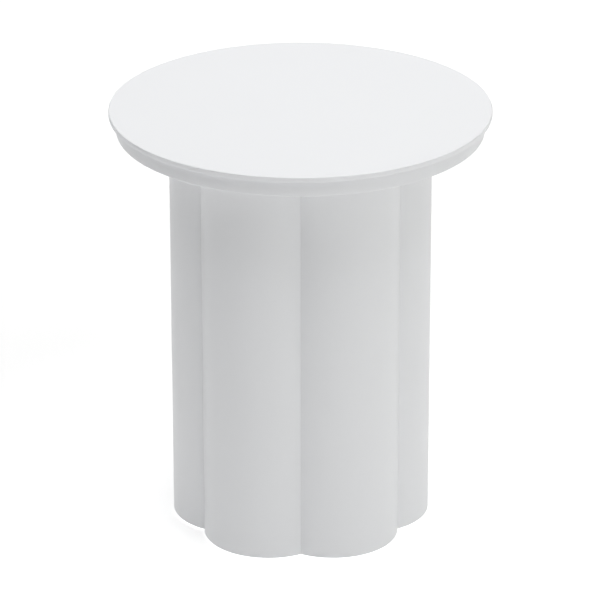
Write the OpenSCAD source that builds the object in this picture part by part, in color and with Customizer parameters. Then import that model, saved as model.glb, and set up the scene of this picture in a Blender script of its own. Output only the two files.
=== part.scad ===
// Pedestal end table in white lacquered board: a thin round top on a thicker apron disc,
// over a hollow pedestal of six rounded lobes with a sharp crease between each two.
// The origin is on the floor under the middle of the table, +Z is up and -Y is the front.
// A crease faces the front. Six small levelling feet stand out of sight under the pedestal.

/* [Table] */
// Height of the top face above the floor, with the feet screwed right in
table_h = 520; // [420:5:620]
// Gap between the pedestal's lower edge and the floor, with the feet screwed right in
floor_gap = 2; // [2:0.5:6]

/* [Top] */
// Diameter of the top panel
top_d = 450; // [400:5:600]
// Thickness of the top panel, which shows as the thin lip
top_t = 6; // [4:0.5:12]
// Rounding of the top panel's two rims
top_edge_r = 1; // [0.5:0.25:1.75]
// How far the top panel reaches past the apron disc, all round
lip = 8.5; // [4:0.5:20]
// Thickness of the apron disc
apron_t = 20; // [18:1:30]
// Rounding of the apron disc's lower rim
apron_edge_r = 1; // [1:0.5:5]

/* [Pedestal] */
// Distance from the table's axis to the middle of each lobe
lobe_offset = 77; // [68:1:82]
// Outer radius of each lobe
lobe_r = 78; // [75:1:90]
// Wall of the curved staves that skin the lobes
stave_t = 8; // [6:0.5:10]

/* [Inner frame] */
// Thickness of the top and bottom formers
former_t = 18; // [17:1:25]
// Thickness of the middle former
mid_former_t = 12; // [9:1:18]
// Height of the middle former's underside above the bottom former
mid_former_lift = 216; // [100:5:300]
// Diameter of the hole through the middle former
mid_hole_d = 120; // [40:5:150]
// Width of the battens that back the creases
batten_w = 36; // [24:1:44]
// Depth of the battens, inwards from the crease
batten_depth = 26; // [20:1:34]

/* [Tie rod] */
// Thread diameter of the tie rod that clamps the top to the pedestal
rod_d = 8; // [6:1:10]
// Length of rod that shows below its nut
rod_tail = 1.5; // [0.5:0.5:2]
// Space left between the rod's upper end and the top panel
rod_head_gap = 2; // [0.5:0.5:4]
// Width of the rod's nut across its flats
rod_nut_af = 13; // [12:0.5:17]
// Thickness of the rod's nut
rod_nut_t = 6.5; // [4:0.5:7]
// Diameter of the washer
rod_washer_d = 30; // [20:1:40]
// Thickness of the washer
rod_washer_t = 2; // [1:0.5:2.5]
// Diameter of the tee nut's flange, let into the apron disc's upper face
tee_flange_d = 24; // [20:1:34]
// Thickness of the tee nut's flange
tee_flange_t = 1.5; // [1:0.5:2.5]
// Length of the tee nut from its flange's upper face down
tee_l = 12; // [8:1:15]
// Wall of the tee nut's barrel
tee_wall = 1.5; // [1:0.25:2.5]

/* [Dowels and screws] */
// Diameter of the dowels that line the pedestal up with the apron disc
dowel_d = 8; // [6:1:10]
// Length of the dowels
dowel_l = 30; // [20:1:30]
// Diameter of the circle on which the dowels stand
dowel_circle_d = 120; // [70:5:180]
// Diameter of the chipboard screws' shanks
screw_d = 4; // [3:0.5:5]
// Diameter of the screws' countersunk heads
screw_head_d = 8; // [7:0.5:10]
// Length of the screws
screw_l = 45; // [35:5:60]

/* [Levelling feet] */
// Distance from the middle of each lobe outwards to its foot
foot_outset = 37; // [25:1:45]
// Travel of each foot between screwed right in and screwed out
foot_travel = 8; // [4:1:12]
// Thread diameter of the feet
foot_thread_d = 8; // [6:1:10]
// Width of each foot's hexagon across its flats
foot_hex_af = 14; // [12:0.5:18]
// Thickness of each foot's hexagon
foot_hex_t = 4; // [3:0.5:6]
// Diameter of the pads that stand on the floor
pad_d = 30; // [24:1:36]
// Height of the pads
pad_h = 8; // [7.5:0.5:10]
// Chamfer round the pads' upper rim
pad_top_chamfer = 2; // [1:0.5:3]
// Chamfer round the pads' lower rim
pad_foot_chamfer = 0.8; // [0.4:0.2:1.4]
// Diameter of the ball on which each pad swivels
ball_d = 9; // [8:0.5:10]
// How far the pad's socket closes over the ball above its middle
socket_lip = 2.4; // [2:0.1:3]
// Length of the threaded inserts inside the bottom former
insert_l = 15; // [10:1:16]
// Wall of the threaded inserts
insert_wall = 2; // [1.5:0.25:3]
// Diameter of the inserts' flanges
insert_flange_d = 22; // [18:1:28]
// Thickness of the inserts' flanges
insert_flange_t = 1.5; // [1:0.5:2.5]

/* [Fits] */
// Glue line between the staves and what they are glued to
glue_gap = 0.1; // [0.05:0.05:0.3]
// Gap all round the middle former's notches
notch_gap = 0.3; // [0.1:0.1:0.6]
// Radial clearance of a bolt or rod in its thread
thread_fit = 0.05; // [0.02:0.01:0.1]
// Radial clearance of inserts, dowels and screws in their holes
hole_fit = 0.05; // [0.02:0.01:0.1]
// Free depth past the end of a dowel
dowel_end_gap = 1; // [0.5:0.5:2]
// Radial clearance of the tie rod and the feet where they pass through board
pass_gap = 0.5; // [0.2:0.1:1]
// Clearance of the ball in its socket
socket_fit = 0.05; // [0.02:0.01:0.1]
// Radial gap between a foot's neck and the mouth of its socket
neck_gap = 0.8; // [0.5:0.1:1.2]
// Gap between a pad and the hexagon over it
swivel_gap = 1.2; // [0.8:0.1:2]
// Gap between a foot's hexagon and its insert, screwed right in
seat_gap = 0.3; // [0.2:0.1:0.6]

/* [Hidden] */
$fn = 96;

// Lobes round the pedestal, each with its own stave, batten and foot
lobe_count = 6;
// Dowels between the pedestal and the apron disc
dowel_count = 3;
lobe_step = 360 / lobe_count;
half_step = lobe_step / 2;

// Heights, from the floor up
former_z = pad_h + swivel_gap + foot_hex_t + seat_gap + insert_flange_t;
batten_z = former_z + former_t;
apron_z = table_h - top_t - apron_t;
top_former_z = apron_z - former_t;
batten_l = top_former_z - batten_z;
top_z = table_h - top_t;

// Radii
apron_r = top_d / 2 - lip;
core_r = lobe_r - stave_t - glue_gap;
core_crease_r = crease_r(core_r);
batten_screw_r = core_crease_r - batten_depth / 2;
foot_r = lobe_offset + foot_outset;
ball_r = ball_d / 2;
neck_r = sqrt(pow(ball_r, 2) - pow(socket_lip, 2)) - neck_gap;

// The tie rod's run
rod_bottom_z = former_z - rod_washer_t - rod_nut_t - rod_tail;
rod_top_z = top_z - rod_head_gap;

// Shapes of the screws and dowels
screw_tip_l = screw_d;
dowel_chamfer = 1;
// Small overlap that lets a cut run past the face it opens
cut = 1;

lacquer = "#f3f4f5";
board = "#b79b76";
pine = "#dcc28f";
beech = "#d3ad7c";
zinc = "#b8bcc1";
nylon = "#e7e6e0";

function numbered(name) = [for (i = [1 : lobe_count]) str(name, "_", i)];

// Distance from the axis to the crease where two neighbouring lobes of radius r meet
function crease_r(r) =
    lobe_offset * cos(half_step) + sqrt(pow(r, 2) - pow(lobe_offset * sin(half_step), 2));

// Direction of lobe i, counted from 1, and of the crease that follows it
function lobe_angle(i) = (i - 1) * lobe_step;
function crease_angle(i) = lobe_angle(i) + half_step;

// Width of a hexagon across its corners, from its width across the flats
function across_corners(af) = af / cos(30);

// Places children at every foot, and at every batten's screw
module at_feet() {
    for (i = [1 : lobe_count]) rotate(lobe_angle(i)) translate([foot_r, 0]) children();
}

module at_batten_screws() {
    for (i = [1 : lobe_count]) rotate(crease_angle(i)) translate([batten_screw_r, 0]) children();
}

module at_dowels() {
    for (i = [1 : dowel_count]) {
        rotate(360 / dowel_count * i - half_step) translate([dowel_circle_d / 2, 0]) children();
    }
}

// Section of everything inside the staves
module core_outline() {
    circle(lobe_offset);
    for (i = [1 : lobe_count]) rotate(lobe_angle(i)) translate([lobe_offset, 0]) circle(core_r);
}

// Section of the batten behind the crease on the +X side, coved to the two staves it carries
module batten_section() {
    intersection() {
        batten_block(0);
        rotate(-half_step) core_outline();
    }
}

module batten_block(gap) {
    translate([core_crease_r - batten_depth - gap, -batten_w / 2 - gap]) {
        square([2 * batten_depth, batten_w + 2 * gap]);
    }
}

// A countersunk screw pointing down with its head's face at z = 0, or the hole for it
module screw(fit) {
    head_l = (screw_head_d - screw_d) / 2;
    shank_l = screw_l - screw_tip_l;
    translate([0, 0, -head_l - fit]) cylinder(h = head_l, d1 = screw_d + 2 * fit, d2 = screw_head_d + 2 * fit);
    translate([0, 0, -shank_l - fit]) cylinder(h = shank_l - head_l + fit, d = screw_d + 2 * fit);
    translate([0, 0, -screw_l - fit]) cylinder(h = screw_tip_l, d1 = 2 * fit, d2 = screw_d + 2 * fit);
    if (fit > 0) translate([0, 0, -fit]) cylinder(h = fit + cut, d = screw_head_d + 2 * fit);
}

// The top panel, with both rims eased
module top_panel() {
    r = top_d / 2;
    color(lacquer) translate([0, 0, top_z]) rotate_extrude() {
        square([r - top_edge_r, top_t]);
        translate([0, top_edge_r]) square([r, top_t - 2 * top_edge_r]);
        for (z = [top_edge_r, top_t - top_edge_r]) translate([r - top_edge_r, z]) circle(top_edge_r);
    }
}

// The apron disc, bored for the tie rod, its tee nut and the dowels
module apron_disc() {
    color(lacquer) translate([0, 0, apron_z]) difference() {
        rotate_extrude() {
            square([apron_r - apron_edge_r, apron_t]);
            translate([0, apron_edge_r]) square([apron_r, apron_t - apron_edge_r]);
            translate([apron_r - apron_edge_r, apron_edge_r]) circle(apron_edge_r);
        }
        translate([0, 0, -cut]) cylinder(h = apron_t, r = rod_d / 2 + pass_gap);
        translate([0, 0, apron_t - tee_l]) {
            cylinder(h = tee_l, r = rod_d / 2 + thread_fit + tee_wall + hole_fit);
        }
        translate([0, 0, apron_t - tee_flange_t]) {
            cylinder(h = tee_flange_t + cut, r = tee_flange_d / 2 + hole_fit);
        }
        at_dowels() dowel_hole();
    }
}

// A dowel's hole, reaching the same way up and down from the joint at z = 0
module dowel_hole() {
    half_l = dowel_l / 2 + dowel_end_gap;
    translate([0, 0, -half_l]) cylinder(h = 2 * half_l, r = dowel_d / 2 + hole_fit);
}

// One curved stave, mitred against its two neighbours on the planes through the table's axis
module lobe_stave(i) {
    reach = lobe_offset + lobe_r;
    mitre = tan(half_step);
    color(lacquer) translate([0, 0, floor_gap]) rotate(lobe_angle(i)) linear_extrude(apron_z - floor_gap) {
        intersection() {
            translate([lobe_offset, 0]) difference() {
                circle(lobe_r);
                circle(lobe_r - stave_t);
            }
            polygon([
                [lobe_offset, -lobe_offset * mitre],
                [reach, -reach * mitre],
                [reach, reach * mitre],
                [lobe_offset, lobe_offset * mitre]
            ]);
        }
    }
}

// One upright batten behind a crease, with a screw hole in each end
module crease_batten(i) {
    color(pine) difference() {
        translate([0, 0, batten_z]) rotate(crease_angle(i)) linear_extrude(batten_l) batten_section();
        rotate(crease_angle(i)) translate([batten_screw_r, 0]) {
            translate([0, 0, apron_z]) screw(hole_fit);
            translate([0, 0, former_z]) mirror([0, 0, 1]) screw(hole_fit);
        }
    }
}

// The former under the apron disc
module top_former() {
    color(board) difference() {
        translate([0, 0, top_former_z]) linear_extrude(former_t) core_outline();
        translate([0, 0, top_former_z - cut]) cylinder(h = former_t + 2 * cut, r = rod_d / 2 + pass_gap);
        translate([0, 0, apron_z]) {
            at_batten_screws() screw(hole_fit);
            at_dowels() dowel_hole();
        }
    }
}

// The ring half way down, notched round the battens, that keeps the thin staves in shape
module mid_former() {
    color(board) translate([0, 0, batten_z + mid_former_lift]) linear_extrude(mid_former_t) {
        difference() {
            core_outline();
            circle(mid_hole_d / 2);
            for (i = [1 : lobe_count]) rotate(crease_angle(i)) batten_block(notch_gap);
        }
    }
}

// The former that carries the feet, set up inside the pedestal's lower edge
module bottom_former() {
    color(board) difference() {
        translate([0, 0, former_z]) linear_extrude(former_t) core_outline();
        translate([0, 0, former_z - cut]) cylinder(h = former_t + 2 * cut, r = rod_d / 2 + pass_gap);
        translate([0, 0, former_z]) {
            at_batten_screws() mirror([0, 0, 1]) screw(hole_fit);
            at_feet() {
                translate([0, 0, -cut]) cylinder(h = insert_l + cut, r = insert_r() + hole_fit);
                cylinder(h = former_t + cut, r = foot_thread_d / 2 + pass_gap);
            }
        }
    }
}

// The rod that pulls the apron disc down on the pedestal
module tie_rod() {
    color(zinc) translate([0, 0, rod_bottom_z]) cylinder(h = rod_top_z - rod_bottom_z, r = rod_d / 2);
}

module tie_rod_tee_nut() {
    color(zinc) translate([0, 0, top_z]) difference() {
        union() {
            translate([0, 0, -tee_flange_t]) cylinder(h = tee_flange_t, r = tee_flange_d / 2);
            translate([0, 0, -tee_l]) cylinder(h = tee_l, r = rod_d / 2 + thread_fit + tee_wall);
        }
        translate([0, 0, -tee_l - cut]) cylinder(h = tee_l + 2 * cut, r = rod_d / 2 + thread_fit);
    }
}

module tie_rod_washer() {
    color(zinc) translate([0, 0, former_z - rod_washer_t]) difference() {
        cylinder(h = rod_washer_t, r = rod_washer_d / 2);
        translate([0, 0, -cut]) cylinder(h = rod_washer_t + 2 * cut, r = rod_d / 2 + pass_gap);
    }
}

module tie_rod_nut() {
    color(zinc) translate([0, 0, former_z - rod_washer_t - rod_nut_t]) difference() {
        cylinder(h = rod_nut_t, d = across_corners(rod_nut_af), $fn = 6);
        translate([0, 0, -cut]) cylinder(h = rod_nut_t + 2 * cut, r = rod_d / 2 + thread_fit);
    }
}

module locating_dowels() {
    r = dowel_d / 2;
    half_l = dowel_l / 2;
    color(beech) translate([0, 0, apron_z]) at_dowels() rotate_extrude() {
        polygon([
            [0, -half_l],
            [r - dowel_chamfer, -half_l],
            [r, -half_l + dowel_chamfer],
            [r, half_l - dowel_chamfer],
            [r - dowel_chamfer, half_l],
            [0, half_l]
        ]);
    }
}

module top_former_screws() {
    color(zinc) translate([0, 0, apron_z - hole_fit]) at_batten_screws() screw(0);
}

module bottom_former_screws() {
    color(zinc) translate([0, 0, former_z + hole_fit]) at_batten_screws() mirror([0, 0, 1]) screw(0);
}

function insert_r() = foot_thread_d / 2 + thread_fit + insert_wall;

// The flanged threaded inserts that the feet screw into
module foot_inserts() {
    color(zinc) translate([0, 0, former_z]) at_feet() difference() {
        union() {
            translate([0, 0, -insert_flange_t]) cylinder(h = insert_flange_t, r = insert_flange_d / 2);
            cylinder(h = insert_l, r = insert_r());
        }
        translate([0, 0, -insert_flange_t - cut]) {
            cylinder(h = insert_flange_t + insert_l + 2 * cut, r = foot_thread_d / 2 + thread_fit);
        }
    }
}

// One foot's threaded stem: a ball for the pad, a neck, a hexagon for a spanner and the stud.
// The stud is long enough to fill its insert even when the foot is screwed right out.
module foot_stem(i) {
    ball_z = pad_h - socket_lip;
    hex_z = pad_h + swivel_gap;
    stud_z = hex_z + foot_hex_t;
    stud_l = seat_gap + insert_flange_t + insert_l + foot_travel;
    color(zinc) rotate(lobe_angle(i)) translate([foot_r, 0, 0]) {
        translate([0, 0, ball_z]) sphere(ball_r);
        translate([0, 0, ball_z]) cylinder(h = hex_z - ball_z, r = neck_r);
        translate([0, 0, hex_z]) cylinder(h = foot_hex_t, d = across_corners(foot_hex_af), $fn = 6);
        translate([0, 0, stud_z]) cylinder(h = stud_l, r = foot_thread_d / 2);
    }
}

// One foot's pad, which grips the ball and stays still on the floor while the stem turns
module foot_pad(i) {
    r = pad_d / 2;
    color(nylon) rotate(lobe_angle(i)) translate([foot_r, 0, 0]) difference() {
        rotate_extrude() polygon([
            [0, 0],
            [r - pad_foot_chamfer, 0],
            [r, pad_foot_chamfer],
            [r, pad_h - pad_top_chamfer],
            [r - pad_top_chamfer, pad_h],
            [0, pad_h]
        ]);
        translate([0, 0, pad_h - socket_lip]) sphere(ball_r + socket_fit);
    }
}

top_panel();
apron_disc();
for (i = [1 : lobe_count]) {
    lobe_stave(i);
    crease_batten(i);
    foot_stem(i);
    foot_pad(i);
}
top_former();
mid_former();
bottom_former();
tie_rod();
tie_rod_tee_nut();
tie_rod_washer();
tie_rod_nut();
locating_dowels();
top_former_screws();
bottom_former_screws();
foot_inserts();
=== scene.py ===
import math

import bmesh
import bpy
from mathutils import Matrix, Vector


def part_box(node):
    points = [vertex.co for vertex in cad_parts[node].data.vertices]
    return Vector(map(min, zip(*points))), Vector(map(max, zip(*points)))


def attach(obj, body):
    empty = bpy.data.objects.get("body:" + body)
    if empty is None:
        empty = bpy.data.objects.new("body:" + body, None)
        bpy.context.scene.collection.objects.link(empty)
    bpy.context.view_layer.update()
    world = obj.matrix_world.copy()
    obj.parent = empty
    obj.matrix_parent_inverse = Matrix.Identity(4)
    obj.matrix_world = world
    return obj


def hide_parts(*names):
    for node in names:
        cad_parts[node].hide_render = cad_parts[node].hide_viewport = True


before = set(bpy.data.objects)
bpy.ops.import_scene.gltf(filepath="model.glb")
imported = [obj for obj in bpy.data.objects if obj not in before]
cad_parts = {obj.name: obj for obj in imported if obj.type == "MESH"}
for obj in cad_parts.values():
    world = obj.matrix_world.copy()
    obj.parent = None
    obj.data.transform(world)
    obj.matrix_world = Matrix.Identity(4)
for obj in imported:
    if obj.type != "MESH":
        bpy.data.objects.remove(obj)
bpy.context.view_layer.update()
print("frame loaded:", len(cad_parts), "CAD nodes")

mm = 0.001
up = Vector((0, 0, 1))
lobeCount = 6
lobeStep = math.tau / lobeCount
weldDistance = 0.001 * mm


# camera

# the photograph is 600 px wide and looks down on a table that stands about 4.5 m away
photo = {
    "width": 600,
    "focalLength": 4139,  # px
    "middleX": 300.7,  # px, where the table's axis stands
    "pitch": 23.33,  # degrees below the horizon
    "roll": -0.065,  # degrees, anticlockwise seen from behind the camera
    "distance": 4.542,  # m, level
    "height": 2.233,  # m
}
sensorWidth = 36

cameraData = bpy.data.cameras.new("photoCamera")
cameraData.sensor_width = sensorWidth
cameraData.lens = photo["focalLength"] / photo["width"] * sensorWidth
cameraData.shift_x = (photo["width"] / 2 - photo["middleX"]) / photo["width"]
camera = bpy.data.objects.new("photoCamera", cameraData)
bpy.context.collection.objects.link(camera)
camera.location = (0, -photo["distance"], photo["height"])
tilt = Matrix.Rotation(math.radians(90 - photo["pitch"]), 3, "X")
camera.rotation_euler = (tilt @ Matrix.Rotation(math.radians(photo["roll"]), 3, "Z")).to_euler()
bpy.context.scene.camera = camera


# light and floor

studio = {
    "skyColour": "FFFFFF",
    "skyStrength": 0.02,
    "aim": (0, 0, 0.3),
    "lights": {
        # degrees round the table from +X, degrees above the horizon, distance, size, watts, colour
        "overhead": (0, 90, 3.7, 5.0, 183.7, "FFFFFF"),
        "frontFill": (-60, 40, 3.8, 2.2, 15.7, "FFFFFF"),
        "rightKey": (-30, 25, 3.8, 2.2, 13.4, "FFFFF6"),
        "rightRim": (30, 25, 3.8, 2.2, 3.4, "FFFFF6"),
        "backSheen": (90, 23, 3.8, 2.2, 16, "FFFFFF"),  # shows as a sheen on the top from the front
    },
    "polarised": ("overhead", "rightKey", "rightRim"),  # these leave no glare on the satin top
    "floorColour": "FCFCFC",
    "floorRadius": 14,
    "floorSteps": 96,
    # the floor is white and glows by itself: painted light that fills in the shadows the lights leave
    # around the table
    "glow": 0.345,
    # each step comes in between two radii and adds its last number to the glow
    "glowSteps": [(0.3, 0.6, -0.2), (0.7, 1.4, 0.15), (2.0, 4.0, 0.42), (4.0, 5.0, 0.14)],
    "glowUnderneath": 0.46,  # painted light: more glow within the pedestal's outline, so that the shadowed gap under it reads white
    "glowEdge": 2 * mm,
    # beyond this radius a white sheet lies just above the floor and turns up into a wall
    "backdropRadius": 4,
    "backdropLift": 1 * mm,
    "backdropHeight": 10,
}


def linear(text):
    # sRGB hex to the linear colour that the shaders take
    channels = [int(text[i:i + 2], 16) / 255 for i in (0, 2, 4)]
    return [c / 12.92 if c <= 0.04045 else ((c + 0.055) / 1.055) ** 2.4 for c in channels] + [1]


def addNode(tree, kind, inputs=None, **settings):
    # one node with its settings; an input is a value or another node's output
    node = tree.nodes.new(kind)
    for name, value in settings.items():
        setattr(node, name, value)
    for name, value in (inputs or {}).items():
        if isinstance(value, bpy.types.NodeSocket):
            tree.links.new(value, node.inputs[name])
        else:
            node.inputs[name].default_value = value
    return node


world = bpy.data.worlds.new("studio")
world.use_nodes = True
world.node_tree.nodes["Background"].inputs["Color"].default_value = linear(studio["skyColour"])
world.node_tree.nodes["Background"].inputs["Strength"].default_value = studio["skyStrength"]
bpy.context.scene.world = world

aim = Vector(studio["aim"])
for name, (azimuth, elevation, distance, size, watts, colour) in studio["lights"].items():
    light = bpy.data.lights.new(name, "AREA")
    light.size = size
    light.energy = watts
    light.color = linear(colour)[:3]
    lamp = bpy.data.objects.new(name, light)
    level = Vector((math.cos(math.radians(azimuth)), math.sin(math.radians(azimuth)), 0))
    direction = level * math.cos(math.radians(elevation)) + up * math.sin(math.radians(elevation))
    lamp.location = aim + distance * direction
    lamp.rotation_euler = direction.to_track_quat("Z", "Y").to_euler()
    lamp.visible_camera = False  # the other views stand outside the lights
    lamp.visible_glossy = name not in studio["polarised"]
    bpy.context.collection.objects.link(lamp)

bpy.context.scene.view_settings.view_transform = "Standard"
print("camera and lights set")


# materials

def newMaterial(name):
    material = bpy.data.materials.new(name)
    material.use_nodes = True
    tree = material.node_tree
    shader = tree.nodes["Principled BSDF"]
    place = addNode(tree, "ShaderNodeTexCoord").outputs["Object"]
    return material, tree, shader, place


def satinLacquer():
    # white satin polyurethane lacquer, sprayed in two coats and cured flat: even and close to white,
    # with the faint orange peel that spraying leaves, so that highlights break up a little at their edges
    material, tree, shader, place = newMaterial("satinLacquer")
    shader.inputs["Base Color"].default_value = linear("E7E8EA")
    shader.inputs["IOR"].default_value = 1.5
    peel = addNode(tree, "ShaderNodeTexNoise", {"Vector": place, "Scale": 1 / (2.5 * mm), "Detail": 1.5})
    drift = addNode(tree, "ShaderNodeTexNoise", {"Vector": place, "Scale": 1 / (70 * mm), "Detail": 2})
    rough = addNode(tree, "ShaderNodeMapRange", {
        "Value": drift.outputs["Fac"], "To Min": 0.36, "To Max": 0.44})
    tree.links.new(rough.outputs["Result"], shader.inputs["Roughness"])
    bump = addNode(tree, "ShaderNodeBump", {
        "Height": peel.outputs["Fac"], "Strength": 0.12, "Distance": 0.05 * mm})
    tree.links.new(bump.outputs["Normal"], shader.inputs["Normal"])
    return material


def shadeGreyPrimer():
    # the primer below the lacquer, one sprayed and sanded coat on faces that nobody sees: matt, with fine
    # scratches.
    # Its greyer tone is partly painted shade under the apron, set darker so that the lobes just below it
    # come out darker too
    material, tree, shader, place = newMaterial("shadeGreyPrimer")
    cloud = addNode(tree, "ShaderNodeTexNoise", {"Vector": place, "Scale": 1 / (25 * mm), "Detail": 3})
    ramp = addNode(tree, "ShaderNodeValToRGB", {"Fac": cloud.outputs["Fac"]})
    ramp.color_ramp.elements[0].position = 0.3
    ramp.color_ramp.elements[0].color = linear("D6D6D5")
    ramp.color_ramp.elements[1].position = 0.7
    ramp.color_ramp.elements[1].color = linear("DADAD9")
    tree.links.new(ramp.outputs["Color"], shader.inputs["Base Color"])
    shader.inputs["Roughness"].default_value = 0.7
    shader.inputs["IOR"].default_value = 1.5
    scratch = addNode(tree, "ShaderNodeTexNoise", {"Vector": place, "Scale": 1 / (0.8 * mm), "Detail": 4})
    bump = addNode(tree, "ShaderNodeBump", {
        "Height": scratch.outputs["Fac"], "Strength": 0.15, "Distance": 0.03 * mm})
    tree.links.new(bump.outputs["Normal"], shader.inputs["Normal"])
    return material


def rawFibreboard():
    # medium-density fibreboard, pressed and sanded but not coated:
    # brown and matt, with short pale and dark fibres
    material, tree, shader, place = newMaterial("rawFibreboard")
    fibre = addNode(tree, "ShaderNodeTexNoise", {
        "Vector": place, "Scale": 1 / (1.2 * mm), "Detail": 6, "Roughness": 0.65})
    clump = addNode(tree, "ShaderNodeTexNoise", {"Vector": place, "Scale": 1 / (9 * mm), "Detail": 3})
    both = addNode(tree, "ShaderNodeMix", {
        "Factor": 0.4, "A": fibre.outputs["Fac"], "B": clump.outputs["Fac"]})
    ramp = addNode(tree, "ShaderNodeValToRGB", {"Fac": both.outputs["Result"]})
    ramp.color_ramp.elements[0].position = 0.3
    ramp.color_ramp.elements[0].color = linear("94774F")
    ramp.color_ramp.elements[1].position = 0.7
    ramp.color_ramp.elements[1].color = linear("C4A67C")
    tree.links.new(ramp.outputs["Color"], shader.inputs["Base Color"])
    shader.inputs["Roughness"].default_value = 0.85
    bump = addNode(tree, "ShaderNodeBump", {
        "Height": fibre.outputs["Fac"], "Strength": 0.3, "Distance": 0.1 * mm})
    tree.links.new(bump.outputs["Normal"], shader.inputs["Normal"])
    return material


def planedPine():
    # redwood pine, planed and left bare: pale yellow earlywood
    # with darker latewood lines about 4 mm apart, which wander a little
    material, tree, shader, place = newMaterial("planedPine")
    along = addNode(tree, "ShaderNodeMapping", {"Vector": place, "Scale": (1, 1, 0.06)})
    wander = addNode(tree, "ShaderNodeTexNoise", {
        "Vector": along.outputs["Vector"], "Scale": 1 / (30 * mm), "Detail": 3})
    spread = addNode(tree, "ShaderNodeVectorMath", {
        0: wander.outputs["Color"], "Scale": 8 * mm}, operation="SCALE")
    warped = addNode(tree, "ShaderNodeVectorMath", {
        0: along.outputs["Vector"], 1: spread.outputs["Vector"]}, operation="ADD")
    # the node draws a ring every tau / 20 of its own units
    rings = addNode(tree, "ShaderNodeTexWave", {
        "Vector": warped.outputs["Vector"], "Scale": math.tau / (20 * 4 * mm)},
        wave_type="RINGS", rings_direction="Z", wave_profile="SAW")
    ramp = addNode(tree, "ShaderNodeValToRGB", {"Fac": rings.outputs["Fac"]})
    ramp.color_ramp.elements[0].position = 0.45
    ramp.color_ramp.elements[0].color = linear("E6CFA0")
    ramp.color_ramp.elements[1].color = linear("C29A5E")
    tree.links.new(ramp.outputs["Color"], shader.inputs["Base Color"])
    shader.inputs["Roughness"].default_value = 0.6
    return material


def turnedBeech():
    # beech dowel rod, bare: pinkish tan, even, with short dark flecks along the grain
    material, tree, shader, place = newMaterial("turnedBeech")
    along = addNode(tree, "ShaderNodeMapping", {"Vector": place, "Scale": (1, 1, 0.15)})
    fleck = addNode(tree, "ShaderNodeTexNoise", {
        "Vector": along.outputs["Vector"], "Scale": 1 / (0.7 * mm), "Detail": 3})
    ramp = addNode(tree, "ShaderNodeValToRGB", {"Fac": fleck.outputs["Fac"]})
    ramp.color_ramp.elements[0].position = 0.35
    ramp.color_ramp.elements[0].color = linear("B08556")
    ramp.color_ramp.elements[1].position = 0.6
    ramp.color_ramp.elements[1].color = linear("DDB98A")
    tree.links.new(ramp.outputs["Color"], shader.inputs["Base Color"])
    shader.inputs["Roughness"].default_value = 0.6
    return material


def brightZinc():
    # steel with bright electroplated zinc: pale grey metal,
    # a little cloudy where the passivation is uneven
    material, tree, shader, place = newMaterial("brightZinc")
    cloud = addNode(tree, "ShaderNodeTexNoise", {"Vector": place, "Scale": 1 / (4 * mm), "Detail": 3})
    ramp = addNode(tree, "ShaderNodeValToRGB", {"Fac": cloud.outputs["Fac"]})
    ramp.color_ramp.elements[0].position = 0.3
    ramp.color_ramp.elements[0].color = linear("B4B8BC")
    ramp.color_ramp.elements[1].position = 0.7
    ramp.color_ramp.elements[1].color = linear("CFD1D0")
    tree.links.new(ramp.outputs["Color"], shader.inputs["Base Color"])
    rough = addNode(tree, "ShaderNodeMapRange", {
        "Value": cloud.outputs["Fac"], "To Min": 0.26, "To Max": 0.42})
    tree.links.new(rough.outputs["Result"], shader.inputs["Roughness"])
    shader.inputs["Metallic"].default_value = 1
    return material


def mouldedNylon():
    # natural nylon 6, injection moulded with a fine spark-eroded texture:
    # off-white and matt, and a little see-through at thin edges
    material, tree, shader, place = newMaterial("mouldedNylon")
    shader.inputs["Base Color"].default_value = linear("E4E2DA")
    shader.inputs["IOR"].default_value = 1.53
    shader.inputs["Subsurface Weight"].default_value = 0.15
    shader.inputs["Subsurface Radius"].default_value = (2 * mm, 1.6 * mm, 1.2 * mm)
    grain = addNode(tree, "ShaderNodeTexNoise", {"Vector": place, "Scale": 1 / (0.4 * mm), "Detail": 2})
    rough = addNode(tree, "ShaderNodeMapRange", {
        "Value": grain.outputs["Fac"], "To Min": 0.5, "To Max": 0.65})
    tree.links.new(rough.outputs["Result"], shader.inputs["Roughness"])
    bump = addNode(tree, "ShaderNodeBump", {
        "Height": grain.outputs["Fac"], "Strength": 0.2, "Distance": 0.02 * mm})
    tree.links.new(bump.outputs["Normal"], shader.inputs["Normal"])
    return material


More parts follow.
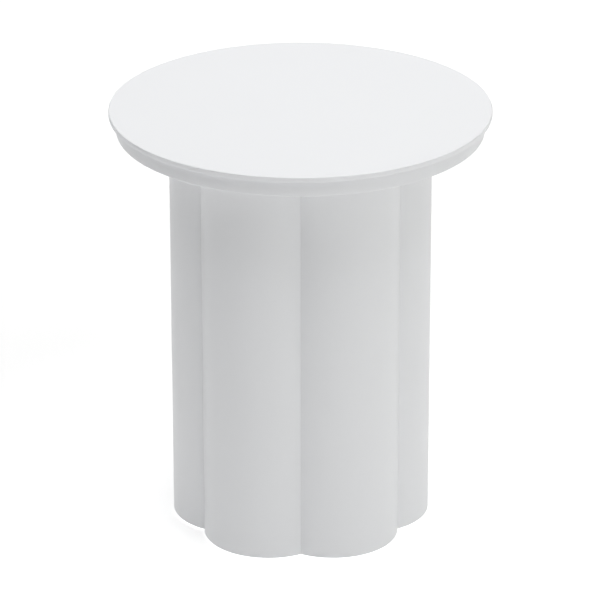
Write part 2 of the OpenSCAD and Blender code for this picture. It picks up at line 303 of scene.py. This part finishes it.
def floorWithPaintedGlow():
    # white matt floor whose own glow is painted light: it fills in the table's shadow, most of all under
    # the pedestal, so that it reads white with hardly a shadow
    material, tree, shader, place = newMaterial("floorWithPaintedGlow")
    shader.inputs["Base Color"].default_value = linear(studio["floorColour"])
    shader.inputs["Emission Color"].default_value = linear("FFFFFF")
    shader.inputs["Specular IOR Level"].default_value = 0.1
    grain = addNode(tree, "ShaderNodeTexNoise", {"Vector": place, "Scale": 1 / (3 * mm), "Detail": 2})
    rough = addNode(tree, "ShaderNodeMapRange", {
        "Value": grain.outputs["Fac"], "To Min": 0.85, "To Max": 0.95})
    tree.links.new(rough.outputs["Result"], shader.inputs["Roughness"])
    # how far a point is from the middle of the nearest lobe, with all six folded onto one
    radius = addNode(tree, "ShaderNodeVectorMath", {0: place}, operation="LENGTH").outputs["Value"]
    axes = addNode(tree, "ShaderNodeSeparateXYZ", {"Vector": place}).outputs
    angle = addNode(tree, "ShaderNodeMath", {0: axes["Y"], 1: axes["X"]}, operation="ARCTAN2")
    folded = addNode(tree, "ShaderNodeMath", {
        0: angle.outputs["Value"], 1: lobeStep / 2}, operation="PINGPONG")
    spoke = addNode(tree, "ShaderNodeCombineXYZ", {"X": radius})
    point = addNode(tree, "ShaderNodeVectorRotate", {
        "Vector": spoke.outputs["Vector"], "Angle": folded.outputs["Value"]}, rotation_type="Z_AXIS")
    lobe = addNode(tree, "ShaderNodeVectorMath", {
        0: point.outputs["Vector"], 1: (staveSizes["offset"], 0, 0)}, operation="DISTANCE")
    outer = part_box("lobe_stave_1")[1].x - staveSizes["offset"]
    steps = [(radius, *step) for step in studio["glowSteps"]]
    # painted light under the pedestal's outline, where its shadow falls
    steps.append((lobe.outputs["Value"], outer, outer - studio["glowEdge"], studio["glowUnderneath"]))
    total = studio["glow"]
    for distance, start, end, change in steps:
        ring = addNode(tree, "ShaderNodeMapRange", {
            "Value": distance, "From Min": start, "From Max": end, "To Max": change},
            interpolation_type="SMOOTHSTEP")
        added = addNode(tree, "ShaderNodeMath", {0: total, 1: ring.outputs["Result"]}, operation="ADD")
        total = added.outputs["Value"]
    tree.links.new(total, shader.inputs["Emission Strength"])
    return material


def whiteBackdrop():
    # seamless white paper far behind everything, lit evenly, seen only in views that look nearly level
    material, _, shader, _ = newMaterial("whiteBackdrop")
    shader.inputs["Base Color"].default_value = linear("000000")  # all of its white is its own glow
    shader.inputs["Emission Color"].default_value = linear("FFFFFF")
    shader.inputs["Emission Strength"].default_value = 1
    return material


lacquer = satinLacquer()
primerShade = shadeGreyPrimer()
board = rawFibreboard()
pine = planedPine()
beech = turnedBeech()
zinc = brightZinc()
nylon = mouldedNylon()
print("materials made")


# mesh helpers

shaping = {
    "roundingSegments": 6,
    "flatBorder": 0.4 * mm,  # keeps the shading of flat faces flat up to a rounded rim
    "sharpAngle": 32,  # degrees between two faces, beyond which their edge stays sharp
    "nutSlope": 30,  # degrees
    "nutFace": 0.95,  # the end faces' width as a share of the width across flats
    "nutClearance": 0.1 * mm,
    "nutSteps": 60,
}
border = shaping["flatBorder"]


def wire(bm, corners):
    # an open outline in the XZ plane from (radius, height, rounding) corners
    verts = [bm.verts.new((x, 0, z)) for x, z, _ in corners]
    for a, b in zip(verts, verts[1:]):
        bm.edges.new((a, b))
    for vert, (_, _, rounding) in zip(verts, corners):
        if rounding:
            bmesh.ops.bevel(bm, geom=[vert], offset=rounding, offset_type="OFFSET", affect="VERTICES",
                            segments=shaping["roundingSegments"], profile=0.5, material=-1)


def turned(corners, steps, angle=math.tau):
    # a solid of revolution about Z
    bm = bmesh.new()
    wire(bm, corners)
    bmesh.ops.spin(bm, geom=bm.verts[:] + bm.edges[:], cent=(0, 0, 0), axis=up, angle=angle, steps=steps,
                   use_merge=angle >= math.tau)
    bmesh.ops.remove_doubles(bm, verts=bm.verts, dist=weldDistance)
    bmesh.ops.recalc_face_normals(bm, faces=bm.faces)
    return bm


def cutAway(bm, point, normal):
    # cuts off everything on the side that the normal points to, and closes the cut
    cut = bmesh.ops.bisect_plane(bm, geom=bm.verts[:] + bm.edges[:] + bm.faces[:], dist=weldDistance,
                                 plane_co=point, plane_no=normal, clear_outer=True)
    rim = [e for e in cut["geom_cut"] if isinstance(e, bmesh.types.BMEdge)]
    bmesh.ops.edgeloop_fill(bm, edges=rim)


def screwThread(radius, depth, pitch, low, high, steps):
    # a rod with a right-hand V thread along Z, cut square at both ends
    crest, root = pitch / 8, pitch / 4
    flank = (pitch - crest - root) / 2
    turns = math.ceil((high - low) / pitch) + 2  # one to spare at each end
    start = low - pitch
    bm = bmesh.new()
    wire(bm, [
        (radius - depth, start, 0),
        (radius - depth, start + root, 0),
        (radius, start + root + flank, 0),
        (radius, start + root + flank + crest, 0),
        (radius - depth, start + pitch, 0),
    ])
    bmesh.ops.spin(bm, geom=bm.verts[:] + bm.edges[:], cent=(0, 0, 0), axis=up,
                   dvec=(0, 0, pitch / steps), angle=math.tau * turns, steps=steps * turns)
    bmesh.ops.remove_doubles(bm, verts=bm.verts, dist=weldDistance)
    cutAway(bm, (0, 0, high), up)
    cutAway(bm, (0, 0, low), -up)
    bmesh.ops.recalc_face_normals(bm, faces=bm.faces)
    return bm


def hexagon(acrossFlats, low, high):
    # a hexagonal prism whose corners are turned off at a slope, as on a nut
    corner = acrossFlats / 2 / math.cos(math.radians(30))
    face = acrossFlats / 2 * shaping["nutFace"]
    reach = corner + shaping["nutClearance"]
    slope = (reach - face) * math.tan(math.radians(shaping["nutSlope"]))
    prism = bmesh.new()
    bmesh.ops.create_cone(prism, cap_ends=True, segments=6, radius1=corner, radius2=corner,
                          depth=high - low)
    bmesh.ops.rotate(prism, verts=prism.verts, matrix=Matrix.Rotation(math.tau / 4, 3, "Z"))
    bmesh.ops.translate(prism, verts=prism.verts, vec=(0, 0, (low + high) / 2))
    lens = turned([
        (0, low, 0),
        (face, low, 0),
        (reach, low + slope, 0),
        (reach, high - slope, 0),
        (face, high, 0),
        (0, high, 0),
    ], shaping["nutSteps"])
    return combined(prism, "INTERSECT", lens)


def combined(first, operation, *others):
    # the first solid joined with, cut by or limited to each of the others
    for other in others:
        solids = []
        for bm in (first, other):
            mesh = bpy.data.meshes.new("solid")
            bm.to_mesh(mesh)
            bm.free()
            solids.append(bpy.data.objects.new("solid", mesh))
            bpy.context.collection.objects.link(solids[-1])
        boolean = solids[0].modifiers.new("boolean", "BOOLEAN")
        boolean.operation = operation
        boolean.solver = "EXACT"
        boolean.object = solids[1]
        depsgraph = bpy.context.evaluated_depsgraph_get()
        mesh = bpy.data.meshes.new_from_object(solids[0].evaluated_get(depsgraph))
        first = bmesh.new()
        first.from_mesh(mesh)
        for solid in solids:
            bpy.data.meshes.remove(solid.data)
        bpy.data.meshes.remove(mesh)
    bmesh.ops.remove_doubles(first, verts=first.verts, dist=weldDistance)
    bmesh.ops.recalc_face_normals(first, faces=first.faces)
    return first


def placed(bm, angle, radius, height=0, flipped=False):
    # a copy of a small solid, stood at a radius and an angle from the table's axis
    copy = bm.copy()
    matrix = Matrix.Rotation(angle, 4, "Z") @ Matrix.Translation((radius, 0, height))
    if flipped:
        matrix = matrix @ Matrix.Rotation(math.pi, 4, "X")
    bmesh.ops.transform(copy, matrix=matrix, verts=copy.verts)
    return copy


def gathered(solids):
    # several solids as one mesh
    whole = bmesh.new()
    for bm in solids:
        mesh = bpy.data.meshes.new("solid")
        bm.to_mesh(mesh)
        bm.free()
        whole.from_mesh(mesh)
        bpy.data.meshes.remove(mesh)
    return whole


def finished(bm, name, materials, body, slot, *nodes):
    # the finished piece: its object at the origin, riding on its body and standing for its CAD nodes
    mesh = bpy.data.meshes.new(name)
    bm.to_mesh(mesh)
    bm.free()
    mesh.shade_smooth()
    mesh.set_sharp_from_angle(angle=math.radians(shaping["sharpAngle"]))
    for material in materials:
        mesh.materials.append(material)
    piece = bpy.data.objects.new(name, mesh)
    bpy.context.collection.objects.link(piece)
    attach(piece, body)
    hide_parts(*nodes)


# top panel and apron disc

topSizes = {
    "rim": 1.0 * mm,  # rounding of both rims
    "steps": 288,
}

low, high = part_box("top_panel")
topRadius = min(high.x, high.y)
rim = topSizes["rim"]
panel = turned([
    (0, low.z, 0),
    (topRadius - rim - border, low.z, 0),
    (topRadius, low.z, rim),
    (topRadius, high.z, rim),
    (topRadius - rim - border, high.z, 0),
    (0, high.z, 0),
], topSizes["steps"])
finished(panel, "topPanel", [lacquer], "table", "white_lacquered_board", "top_panel")

apronSizes = {
    "upperRim": 0.4 * mm,
    "lowerRim": 1.0 * mm,
    "rodHole": 4.5 * mm,  # radius
    "teeNutHole": 5.6 * mm,  # radius
    "teeNutDepth": 12 * mm,
    "flangeHole": 12.05 * mm,  # radius
    "flangeDepth": 1.5 * mm,
    "dowelHole": 4.05 * mm,  # radius
    "dowelDepth": 16 * mm,
    "dowelCircle": 60 * mm,  # radius
    "dowelAngles": (90, 210, 330),
    "underside": -0.99,  # faces whose normal's height is less look down
    "steps": 288,
    "dowelHoleSteps": 32,
}

low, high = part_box("apron_disc")
apronRadius = min(high.x, high.y)
apron = turned([
    (apronSizes["rodHole"], high.z - apronSizes["teeNutDepth"], 0),
    (apronSizes["rodHole"], low.z, 0),
    (apronRadius - apronSizes["lowerRim"] - border, low.z, 0),
    (apronRadius, low.z, apronSizes["lowerRim"]),
    (apronRadius, high.z, apronSizes["upperRim"]),
    (apronRadius - apronSizes["upperRim"] - border, high.z, 0),
    (apronSizes["flangeHole"], high.z, 0),
    (apronSizes["flangeHole"], high.z - apronSizes["flangeDepth"], 0),
    (apronSizes["teeNutHole"], high.z - apronSizes["flangeDepth"], 0),
    (apronSizes["teeNutHole"], high.z - apronSizes["teeNutDepth"], 0),
    (apronSizes["rodHole"], high.z - apronSizes["teeNutDepth"], 0),
], apronSizes["steps"])
for angle in apronSizes["dowelAngles"]:
    drill = bmesh.new()
    bmesh.ops.create_cone(drill, cap_ends=True, segments=apronSizes["dowelHoleSteps"],
                          radius1=apronSizes["dowelHole"], radius2=apronSizes["dowelHole"],
                          depth=2 * apronSizes["dowelDepth"])
    hole = placed(drill, math.radians(angle), apronSizes["dowelCircle"], low.z)
    apron = combined(apron, "DIFFERENCE", hole)
# the downward faces get the greyer primer, partly painted shade under the apron
for face in apron.faces:
    if face.normal.z < apronSizes["underside"]:
        face.material_index = 1  # primer only, greyer: painted shade under the apron
finished(apron, "apronDisc", [lacquer, primerShade], "table", "white_lacquered_board", "apron_disc")
print("top made")


# pedestal staves

staveSizes = {
    "offset": 77 * mm,  # from the table's axis to the middle of the lobe
    "wall": 8 * mm,
    "lowerRim": 0.6 * mm,
    "sweep": 132,  # degrees before the mitres are cut
    "steps": 72,
}


def lobeStave(number):
    low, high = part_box("lobe_stave_1")
    outer = high.x - staveSizes["offset"]
    inner = outer - staveSizes["wall"]
    sweep = math.radians(staveSizes["sweep"])
    bm = turned([
        (inner, low.z, 0),
        (outer, low.z, staveSizes["lowerRim"]),
        (outer, high.z, 0),
        (inner, high.z, 0),
        (inner, low.z, 0),
    ], staveSizes["steps"], sweep)
    for face in bm.faces:
        outwards = face.normal.xy.dot(face.calc_center_median().xy)
        if outwards < -inner / 2:
            face.material_index = 1  # the inner wall stays raw
    bmesh.ops.rotate(bm, verts=bm.verts, matrix=Matrix.Rotation(-sweep / 2, 3, "Z"))
    bmesh.ops.translate(bm, verts=bm.verts, vec=(staveSizes["offset"], 0, 0))
    for side in (-1, 1):
        mitre = side * lobeStep / 2
        cutAway(bm, (0, 0, 0), (-math.sin(mitre) * side, math.cos(mitre) * side, 0))
    bmesh.ops.recalc_face_normals(bm, faces=bm.faces)
    turn = Matrix.Rotation((number - 1) * lobeStep, 3, "Z")
    bmesh.ops.rotate(bm, verts=bm.verts, matrix=turn)
    finished(bm, f"lobeStave{number}", [lacquer, board], "table", "white_lacquered_board",
             f"lobe_stave_{number}")


for number in range(1, lobeCount + 1):
    lobeStave(number)
print("pedestal made")


# levelling feet

footSizes = {
    "threadRadius": 4 * mm,
    "threadDepth": 0.77 * mm,
    "pitch": 1.25 * mm,
    "threadEnd": 1 * mm,  # chamfer
    "hexagonFlats": 14 * mm,
    "hexagonLow": 9.2 * mm,
    "hexagonHigh": 13.2 * mm,
    "ball": 4.5 * mm,  # radius
    "ballHeight": 5.6 * mm,
    "neck": 3.0 * mm,  # radius
    "socket": 4.55 * mm,  # radius
    "padUpperRim": 2 * mm,
    "padLowerRim": 0.8 * mm,
    "padSteps": 96,
    "steps": 32,
    "ballRings": 24,
    "socketSteps": 48,
    "socketRings": 32,
}


def footStem():
    # a foot's stem on the Z axis: ball, neck, hexagon and threaded stud
    low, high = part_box("foot_stem_1")
    radius, end = footSizes["threadRadius"], footSizes["threadEnd"]
    ball = bmesh.new()
    bmesh.ops.create_uvsphere(ball, u_segments=footSizes["steps"], v_segments=footSizes["ballRings"],
                              radius=footSizes["ball"])
    bmesh.ops.translate(ball, verts=ball.verts, vec=(0, 0, footSizes["ballHeight"]))
    neck = turned([
        (0, footSizes["ballHeight"], 0),
        (footSizes["neck"], footSizes["ballHeight"], 0),
        (footSizes["neck"], footSizes["hexagonLow"] + end, 0),
        (0, footSizes["hexagonLow"] + end, 0),
    ], footSizes["steps"])
    stud = screwThread(radius, footSizes["threadDepth"], footSizes["pitch"],
                       footSizes["hexagonHigh"] - end, high.z + end, footSizes["steps"])
    envelope = turned([
        (0, footSizes["hexagonHigh"] - end / 2, 0),
        (radius + end, footSizes["hexagonHigh"] - end / 2, 0),
        (radius + end, high.z - 2 * end, 0),
        (radius - end, high.z, 0),
        (0, high.z, 0),
    ], footSizes["steps"])
    stud = combined(stud, "INTERSECT", envelope)
    nut = hexagon(footSizes["hexagonFlats"], footSizes["hexagonLow"], footSizes["hexagonHigh"])
    return combined(nut, "UNION", stud, neck, ball)


def footPad():
    # a foot's pad on the Z axis, with the socket that grips the ball
    low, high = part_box("foot_pad_1")
    radius = (high.y - low.y) / 2
    pad = turned([
        (0, low.z, 0),
        (radius - footSizes["padLowerRim"] - border, low.z, 0),
        (radius, low.z, footSizes["padLowerRim"]),
        (radius, high.z, footSizes["padUpperRim"]),
        (radius - footSizes["padUpperRim"] - border, high.z, 0),
        (0, high.z, 0),
    ], footSizes["padSteps"])
    socket = bmesh.new()
    bmesh.ops.create_uvsphere(socket, u_segments=footSizes["socketSteps"],
                              v_segments=footSizes["socketRings"], radius=footSizes["socket"])
    bmesh.ops.translate(socket, verts=socket.verts, vec=(0, 0, footSizes["ballHeight"]))
    return combined(pad, "DIFFERENCE", socket)


low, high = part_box("foot_pad_1")
footRadius = (low.x + high.x) / 2
stem, pad = footStem(), footPad()
for number in range(1, lobeCount + 1):
    angle = (number - 1) * lobeStep
    finished(placed(stem, angle, footRadius), f"footStem{number}", [zinc], f"foot_stem_{number}",
             "zinc_plated_steel", f"foot_stem_{number}")
    finished(placed(pad, angle, footRadius), f"footPad{number}", [nylon], f"foot_pad_{number}",
             "white_nylon", f"foot_pad_{number}")

insertSizes = {
    "bore": 4.05 * mm,  # radius
    "barrel": 6.05 * mm,  # radius
    "flange": 11 * mm,  # radius
    "flangeHeight": 1.5 * mm,
    "rim": 0.4 * mm,
    "steps": 64,
}

low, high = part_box("foot_inserts")
rim, flangeTop = insertSizes["rim"], low.z + insertSizes["flangeHeight"]
insert = turned([
    (insertSizes["bore"], high.z - rim, 0),
    (insertSizes["bore"], low.z + 2 * rim, 0),
    (insertSizes["bore"] + 2 * rim, low.z, 0),
    (insertSizes["flange"], low.z, rim),
    (insertSizes["flange"], flangeTop, 0.5 * rim),
    (insertSizes["barrel"], flangeTop, 0),
    (insertSizes["barrel"], high.z, rim),
    (insertSizes["bore"] + rim, high.z, 0),
    (insertSizes["bore"], high.z - rim, 0),
], insertSizes["steps"])
inserts = gathered(placed(insert, i * lobeStep, footRadius) for i in range(lobeCount))
finished(inserts, "footInserts", [zinc], "table", "zinc_plated_steel", "foot_inserts")
print("feet made")


# tie rod

rodSizes = {
    "radius": 4 * mm,
    "shank": 3.6 * mm,  # radius between the rolled threads
    "threadDepth": 0.77 * mm,
    "pitch": 1.25 * mm,
    "lowerThread": 40 * mm,
    "upperThread": 30 * mm,
    "end": 1 * mm,  # chamfer
    "nutFlats": 13 * mm,
    "bore": 4.05 * mm,  # radius, of the nut and the tee nut
    "boreChamfer": 0.5 * mm,
    "washerBore": 4.5 * mm,  # radius
    "washerRim": 0.5 * mm,
    "teeBarrel": 5.55 * mm,  # radius
    "teeFlange": 1.5 * mm,  # thickness
    "teeRim": 0.3 * mm,
    "steps": 24,
    "boreSteps": 48,
    "washerSteps": 96,
    "teeSteps": 72,
}


def tieRod():
    low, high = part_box("tie_rod")
    radius, end = rodSizes["radius"], rodSizes["end"]
    lowerThreadEnd = low.z + rodSizes["lowerThread"]
    upperThreadEnd = high.z - rodSizes["upperThread"]
    rod = turned([
        (0, lowerThreadEnd - end, 0),
        (rodSizes["shank"], lowerThreadEnd - end, 0),
        (rodSizes["shank"], upperThreadEnd + end, 0),
        (0, upperThreadEnd + end, 0),
    ], rodSizes["steps"])
    for outerEnd, innerEnd in ((low.z, lowerThreadEnd), (high.z, upperThreadEnd)):
        inwards = end if innerEnd > outerEnd else -end
        thread = screwThread(radius, rodSizes["threadDepth"], rodSizes["pitch"],
                             min(outerEnd, innerEnd) - end, max(outerEnd, innerEnd) + end,
                             rodSizes["steps"])
        envelope = turned([
            (0, outerEnd, 0),
            (radius - end, outerEnd, 0),
            (radius + end, outerEnd + 2 * inwards, 0),
            (radius + end, innerEnd - 2 * inwards, 0),
            (radius - end, innerEnd, 0),
            (0, innerEnd, 0),
        ], rodSizes["steps"])
        rod = combined(rod, "UNION", combined(thread, "INTERSECT", envelope))
    return rod


finished(tieRod(), "tieRod", [zinc], "table", "zinc_plated_steel", "tie_rod")

low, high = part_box("tie_rod_nut")
bore, chamfer = rodSizes["bore"], rodSizes["boreChamfer"]
overshoot = 1 * mm  # the cutter goes on past both faces
nut = hexagon(rodSizes["nutFlats"], low.z, high.z)
nutBore = turned([
    (0, low.z - overshoot, 0),
    (bore + chamfer + overshoot, low.z - overshoot, 0),
    (bore, low.z + chamfer, 0),
    (bore, high.z - chamfer, 0),
    (bore + chamfer + overshoot, high.z + overshoot, 0),
    (0, high.z + overshoot, 0),
], rodSizes["boreSteps"])
nut = combined(nut, "DIFFERENCE", nutBore)
finished(nut, "tieRodNut", [zinc], "table", "zinc_plated_steel", "tie_rod_nut")

low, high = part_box("tie_rod_washer")
washer = turned([
    (rodSizes["washerBore"], low.z, 0),
    (high.x, low.z, rodSizes["washerRim"]),
    (high.x, high.z, 0),
    (rodSizes["washerBore"], high.z, 0),
    (rodSizes["washerBore"], low.z, 0),
], rodSizes["washerSteps"])
finished(washer, "tieRodWasher", [zinc], "table", "zinc_plated_steel", "tie_rod_washer")

low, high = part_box("tie_rod_tee_nut")
teeNut = turned([
    (bore, low.z, 0),
    (rodSizes["teeBarrel"], low.z, rodSizes["teeRim"]),
    (rodSizes["teeBarrel"], high.z - rodSizes["teeFlange"], 0),
    (high.x, high.z - rodSizes["teeFlange"], rodSizes["teeRim"]),
    (high.x, high.z, rodSizes["teeRim"]),
    (bore + chamfer, high.z, 0),
    (bore, high.z - chamfer, 0),
    (bore, low.z, 0),
], rodSizes["teeSteps"])
finished(teeNut, "tieRodTeeNut", [zinc], "table", "zinc_plated_steel", "tie_rod_tee_nut")
print("tie rod made")


# chipboard screws and dowels

screwSizes = {
    "head": 4 * mm,  # radius
    "headRim": 0.2 * mm,
    "headLength": 2.5 * mm,
    "length": 45 * mm,
    "plain": 12 * mm,  # from the head's face down to the thread
    "plainTaper": 1 * mm,  # where the plain shank runs out into the thread
    "shank": 1.5 * mm,  # radius
    "thread": 2 * mm,  # radius
    "threadDepth": 0.7 * mm,
    "pitch": 1.8 * mm,
    "tip": 5 * mm,
    "tipShare": 0.1,  # of the thread's radius is left at the point
    "recessWidth": 4.6 * mm,
    "recessSlot": 1.0 * mm,
    "recessDepth": 2.2 * mm,
    "recessFoot": (0.35, 0.5, 1),  # how much narrower the recess is below the head's face, by axis
    "steps": 20,
}


def chipboardScrew():
    # a countersunk screw with a cross recess, pointing down from its head's face at the origin
    thread = screwThread(screwSizes["thread"], screwSizes["threadDepth"], screwSizes["pitch"],
                         -screwSizes["length"], -screwSizes["plain"], screwSizes["steps"])
    share = screwSizes["tipShare"]
    for vert in thread.verts:
        fromTip = vert.co.z + screwSizes["length"]
        if fromTip < screwSizes["tip"]:
            vert.co.xy *= share + (1 - share) * fromTip / screwSizes["tip"]
    taper = screwSizes["plainTaper"]
    shank = turned([
        (0, -screwSizes["plain"] - taper, 0),
        (screwSizes["shank"] - taper, -screwSizes["plain"] - taper, 0),
        (screwSizes["shank"], -screwSizes["plain"], 0),
        (screwSizes["shank"], -screwSizes["headLength"], 0),
        (screwSizes["head"], 0, screwSizes["headRim"]),
        (0, 0, 0),
    ], 2 * screwSizes["steps"])
    screw = combined(shank, "UNION", thread)
    for turn in (0, math.tau / 4):
        slot = bmesh.new()
        size = (screwSizes["recessWidth"], screwSizes["recessSlot"], 2 * screwSizes["recessDepth"])
        bmesh.ops.create_cube(slot, size=1)
        bmesh.ops.scale(slot, vec=size, verts=slot.verts)
        foot = [v for v in slot.verts if v.co.z < 0]
        bmesh.ops.scale(slot, vec=screwSizes["recessFoot"], verts=foot)
        bmesh.ops.rotate(slot, verts=slot.verts, matrix=Matrix.Rotation(turn, 3, "Z"))
        screw = combined(screw, "DIFFERENCE", slot)
    return screw


screw = chipboardScrew()
low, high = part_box("top_former_screws")
screwRadius = high.y - screwSizes["head"]  # one of them stands on the Y axis
topHeads = high.z
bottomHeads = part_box("bottom_former_screws")[0].z
for name, node, height, flipped in (
        ("topFormerScrews", "top_former_screws", topHeads, False),
        ("bottomFormerScrews", "bottom_former_screws", bottomHeads, True)):
    screws = gathered(placed(screw, (i + 0.5) * lobeStep, screwRadius, height, flipped)
                      for i in range(lobeCount))
    finished(screws, name, [zinc], "table", "zinc_plated_steel", node)

dowelSizes = {
    "radius": 4 * mm,
    "fluteDepth": 0.35 * mm,
    "flutes": 16,
    "edgesPerFlute": 4,
    "chamfer": 1 * mm,
}


def flutedDowel(length):
    # a dowel standing on the XY plane, with a groove along one in so many edges of its side
    radius, chamfer = dowelSizes["radius"], dowelSizes["chamfer"]
    edges = dowelSizes["flutes"] * dowelSizes["edgesPerFlute"]
    dowel = turned([
        (0, 0, 0),
        (radius - chamfer, 0, 0),
        (radius, chamfer, 0),
        (radius, length - chamfer, 0),
        (radius - chamfer, length, 0),
        (0, length, 0),
    ], edges)
    for vert in dowel.verts:
        edge = round(math.atan2(vert.co.y, vert.co.x) / math.tau * edges)
        if edge % dowelSizes["edgesPerFlute"] == 0:
            vert.co.xy *= 1 - dowelSizes["fluteDepth"] / radius
    return dowel


low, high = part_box("locating_dowels")
dowel = flutedDowel(high.z - low.z)
dowels = gathered(placed(dowel, math.radians(angle), apronSizes["dowelCircle"], low.z)
                  for angle in apronSizes["dowelAngles"])
finished(dowels, "locatingDowels", [beech], "table", "beech", "locating_dowels")
print("screws and dowels made")


# formers and battens keep their CAD shape

def repaint(node, material):
    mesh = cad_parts[node].data
    mesh.materials.clear()
    mesh.materials.append(material)


for node in ("top_former", "mid_former", "bottom_former"):
    repaint(node, board)
for number in range(1, lobeCount + 1):
    repaint(f"crease_batten_{number}", pine)


# floor and backdrop

def stagePiece(name, bm, material):
    mesh = bpy.data.meshes.new(name)
    bm.to_mesh(mesh)
    bm.free()
    mesh.materials.append(material)
    piece = bpy.data.objects.new(name, mesh)
    bpy.context.collection.objects.link(piece)
    return piece


sheet = bmesh.new()
bmesh.ops.create_circle(sheet, cap_ends=True, segments=studio["floorSteps"], radius=studio["floorRadius"])
stagePiece("floor", sheet, floorWithPaintedGlow())
paper = turned([
    (studio["backdropRadius"], studio["backdropLift"], 0),
    (studio["floorRadius"], studio["backdropLift"], 0),
    (studio["floorRadius"], studio["backdropHeight"], 0),
], studio["floorSteps"])
backdrop = stagePiece("backdrop", paper, whiteBackdrop())
backdrop.visible_diffuse = False  # it is a background only, and lights nothing
backdrop.visible_glossy = False
backdrop.visible_shadow = False

print("pieces finished")
